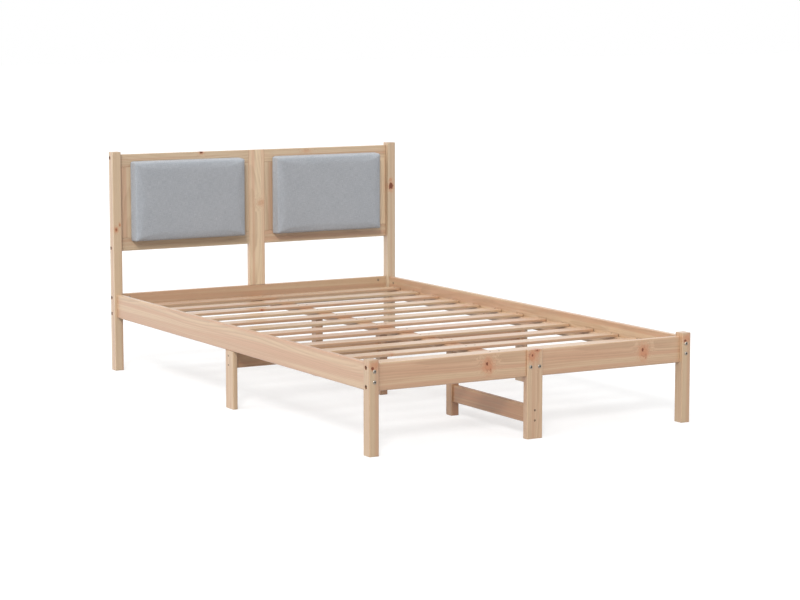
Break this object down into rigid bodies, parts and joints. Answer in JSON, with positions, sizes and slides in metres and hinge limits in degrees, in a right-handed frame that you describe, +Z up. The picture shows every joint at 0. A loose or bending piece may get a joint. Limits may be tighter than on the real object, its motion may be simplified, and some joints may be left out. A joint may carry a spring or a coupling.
{
  "type": "bed frame",
  "caption": "Slatted bed frame in pine with bolted rails on square legs and a low headboard that holds upholstered panels.",
  "frame": {"origin": "on the floor under the middle of the outline", "axes": "+Z up, +Y from the foot end towards the headboard, +X to the right as seen from the foot end"},
  "size_m": [1.255, 2.061, 0.85],
  "materials": {
    "pine": "satin clear-coated pine",
    "panel_board": "raw plywood",
    "panel_fabric": "grey-blue linen-look weave",
    "zinc_steel": "bright zinc plate"
  },
  "bodies": {
    "root": {"head_post_left": "pine", "head_post_right": "pine", "foot_leg_left": "pine", "foot_leg_right": "pine", "side_rail_left": "pine", "side_rail_right": "pine", "foot_rail_left": "pine", "foot_rail_right": "pine", "middle_foot_leg": "pine", "head_rail": "pine", "side_leg_left": "pine", "side_leg_right": "pine", "cross_beam": "pine", "centre_beam": "pine", "centre_leg_1": "pine", "centre_leg_2": "pine", "centre_leg_3": "pine", "stretcher": "pine", "slat_ledger_left": "pine", "slat_ledger_right": "pine", "slat_01": "pine", "slat_02": "pine", "slat_03": "pine", "slat_04": "pine", "slat_05": "pine", "slat_06": "pine", "slat_07": "pine", "slat_08": "pine", "slat_09": "pine", "slat_10": "pine", "slat_11": "pine", "slat_12": "pine", "slat_13": "pine", "headboard_top_rail_left": "pine", "headboard_top_rail_right": "pine", "headboard_bottom_rail_left": "pine", "headboard_bottom_rail_right": "pine", "headboard_outer_stile_left": "pine", "headboard_outer_stile_right": "pine", "headboard_inner_stile_left": "pine", "headboard_inner_stile_right": "pine", "headboard_centre_board": "pine", "panel_board_left": "panel_board", "panel_board_right": "panel_board", "panel_cushion_left": "panel_fabric", "panel_cushion_right": "panel_fabric", "button_head_bolts": "zinc_steel", "sunk_bolts": "zinc_steel"}
  },
  "joints": []
}
